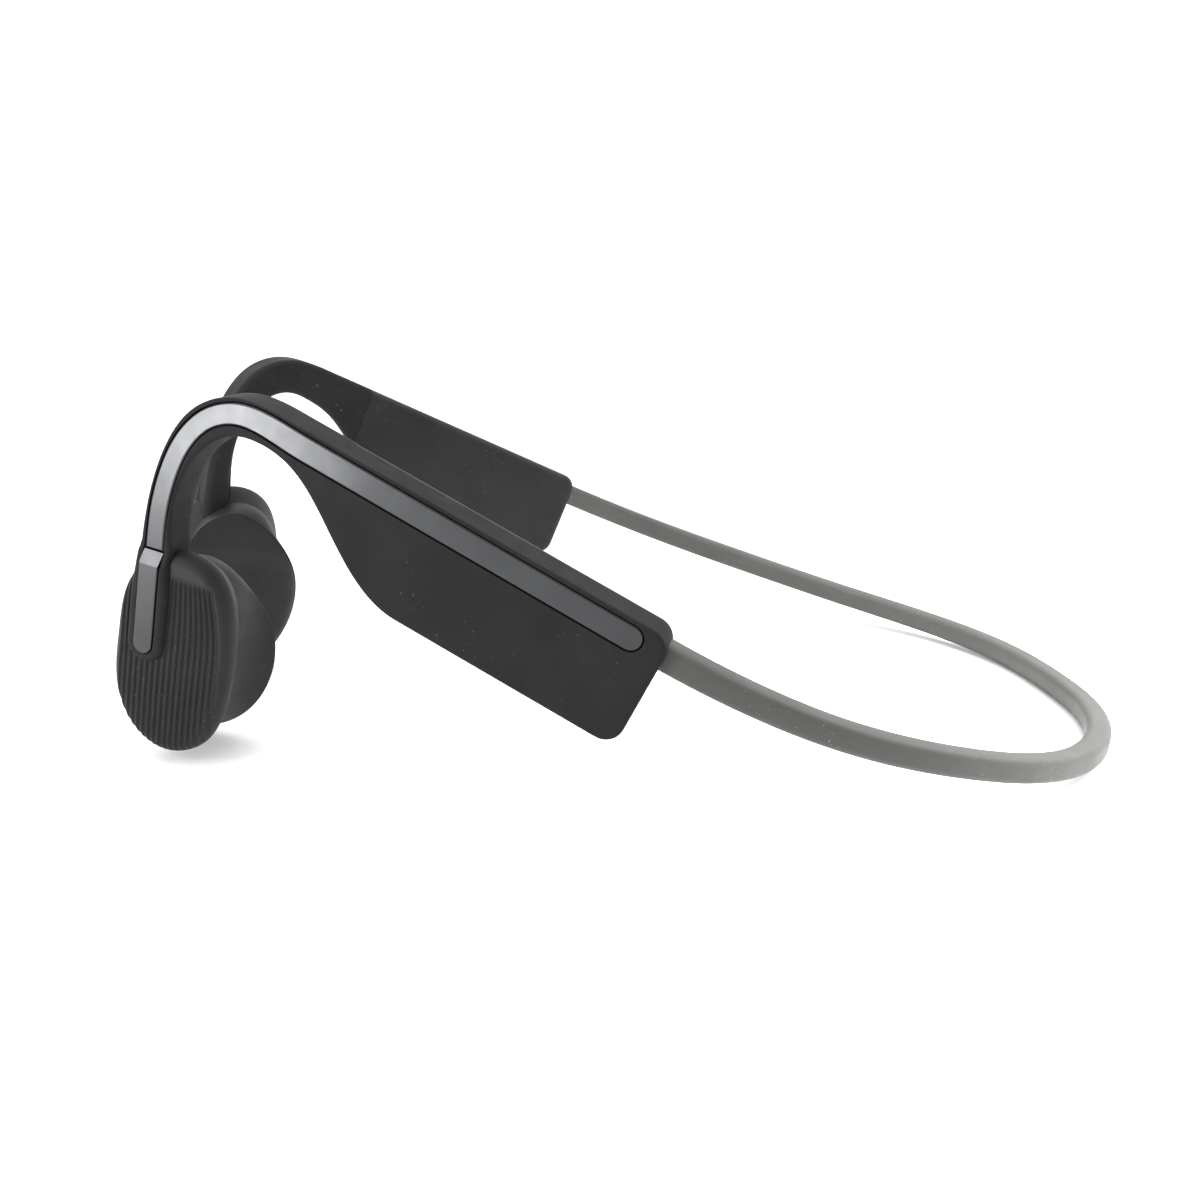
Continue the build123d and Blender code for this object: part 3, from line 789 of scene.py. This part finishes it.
def swept(path, section):
    """A section (across, up) carried along a path, kept upright."""
    ahead = np.gradient(path, axis=0)
    ahead /= np.linalg.norm(ahead, axis=1)[:, None]
    across = np.cross(ahead, (0, 0, 1))
    across /= np.linalg.norm(across, axis=1)[:, None]
    up = np.cross(across, ahead)
    rings = [spot + np.outer(section[:, 0], a) + np.outer(section[:, 1], b)
             for spot, a, b in zip(path, across, up)]
    return temporary(*skin(rings))


def band_section():
    half, corner = BAND_SIZE / 2, BAND_CORNER
    parts = [arc((sx * (half - corner), sz * (half - corner)), corner, start, start + 90, 8)
             for sx, sz, start in ((1, 1, 0), (-1, 1, 90), (-1, -1, 180), (1, -1, 270))]
    return np.concatenate(parts)


def disc_section(radius, lift, sides=16):
    return arc((0, lift), radius, 0, 360 * (1 - 1 / sides), sides)


def flexing(obj, name, material, replaced):
    """A neckband piece in metres, with its placement applied and no body of its own."""
    obj = piece(obj, name, material, None, replaced)
    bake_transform(obj)
    return obj


def neckband(side, materials):
    """Half of the cover, core and leads. The left half stands for what the halves share."""
    path = band_path(side)
    rear, core, leads = [(node,) if side == "left" else () for node in
                         ("neckband_sleeve_rear", "neckband_core_wire", "neckband_leads")]
    flexing(swept(path, band_section()), f"{side}_band_skin", materials["band_silicone"],
            (f"neckband_sleeve_{side}", *rear))
    flexing(swept(path, disc_section(CORE_RADIUS, CORE_LIFT)), f"{side}_core_run",
            materials["titanium"], core)
    flexing(swept(path, disc_section(LEAD_RADIUS, LEAD_LIFT)), f"{side}_lead_run",
            materials["lead_insulation"], leads)


# ---- carried-over nodes, stage, lights and camera -------------------------------------------
def paint_nodes(materials):
    """Give every CAD node its slot's procedural material."""
    slots = {part["node"]: part["material_slot"] for part in frame["record"]["subparts"]}
    for name, obj in frame["nodes"].items():
        obj.data.materials.clear()
        obj.data.materials.append(materials[slots[name]])


FLOOR_REACH, FLOOR_DROP = 30, 0.0002     # metres


def make_stage():
    s = Shader("pale_floor", Roughness=0.6)
    s.wire("Base Color", s.ramp(s.noise(60.0, 2.0), [(0.2, (0.92, 0.92, 0.92)),
                                                     (0.8, (0.94, 0.94, 0.94))]))
    verts = [(x * FLOOR_REACH, y * FLOOR_REACH, -FLOOR_DROP)
             for x, y in ((-1, -1), (1, -1), (1, 1), (-1, 1))]
    floor = temporary(verts, [(0, 1, 2, 3)])
    floor.name = "floor"
    floor.data.materials.append(s.material)


def area_light(name, location, target, size, power, spread=180):
    """A light that points at its target, in metres, watts and degrees."""
    data = bpy.data.lights.new(name, "AREA")
    data.shape = "RECTANGLE"
    data.size, data.size_y = size
    data.energy = power
    data.spread = radians(spread)
    obj = placed(name, data)
    obj.location = location
    facing = Vector(target) - Vector(location)
    obj.rotation_euler = facing.to_track_quat("-Z", "Y").to_euler()
    obj.visible_camera = False


def make_world():
    """Soft light all round, weaker on the side that the front camera stands on."""
    world = bpy.data.worlds.new("studio")
    world.use_nodes = True
    tree = world.node_tree
    background = tree.nodes["Background"]
    background.inputs["Color"].default_value = (1, 1, 1, 1)
    place = tree.nodes.new("ShaderNodeTexCoord").outputs["Generated"]
    parts = tree.nodes.new("ShaderNodeSeparateXYZ")
    strength = tree.nodes.new("ShaderNodeMapRange")
    for socket, value in (("From Min", -0.75), ("From Max", 0.1), ("To Min", 0.75),
                          ("To Max", 1.85)):
        strength.inputs[socket].default_value = value
    tree.links.new(place, parts.inputs["Vector"])
    tree.links.new(parts.outputs["Y"], strength.inputs["Value"])
    tree.links.new(strength.outputs["Result"], background.inputs["Strength"])
    bpy.context.scene.world = world


def make_lights():
    area_light("overhead_softbox", (-0.10, 0.15, 0.70), (0, 0, 0.02), (0.9, 0.7), 2.2)
    area_light("left_card", (-0.184, -0.106, 0.030), (-0.058, -0.024, 0.048), (0.05, 0.05), 0.12)
    area_light("high_card", (-0.26, -0.157, 0.214), (-0.066, -0.021, 0.030), (0.08, 0.08), 0.22)
    area_light("rear_card", (0.125, -0.03, 0.12), (0.07, -0.015, 0), (0.08, 0.08), 0.125, 64)


def make_camera():
    """A close view from the wearer's left, a little above the pods."""
    data = bpy.data.cameras.new("camera")
    data.lens = 31.8
    data.sensor_width = 36
    data.clip_start = 0.01
    camera = placed("camera", data)
    right = Vector((0.9843, -0.1675, 0.0550))
    ahead = Vector((0.1763, 0.9346, -0.3090)).normalized()
    right = (right - ahead * right.dot(ahead)).normalized()
    up = right.cross(ahead)
    turn = Matrix((right, up, -ahead)).transposed()
    camera.matrix_world = Matrix.Translation((-0.0363, -0.15755, 0.0690)) @ turn.to_4x4()
    bpy.context.scene.camera = camera


def build():
    bpy.context.scene.view_settings.view_transform = "Standard"
    materials = make_materials()
    paint_nodes(materials)
    for side in ("left", "right"):
        earhook_housing(side, materials)
        inner_cover(side, materials)
        trim_strip(side, materials)
        transducer_shell(side, materials)
        transducer_cup(side, materials)
        contact_pad(side, materials)
        neckband(side, materials)
    multifunction_button(materials)
    make_stage()
    make_world()
    make_lights()
    make_camera()


build()
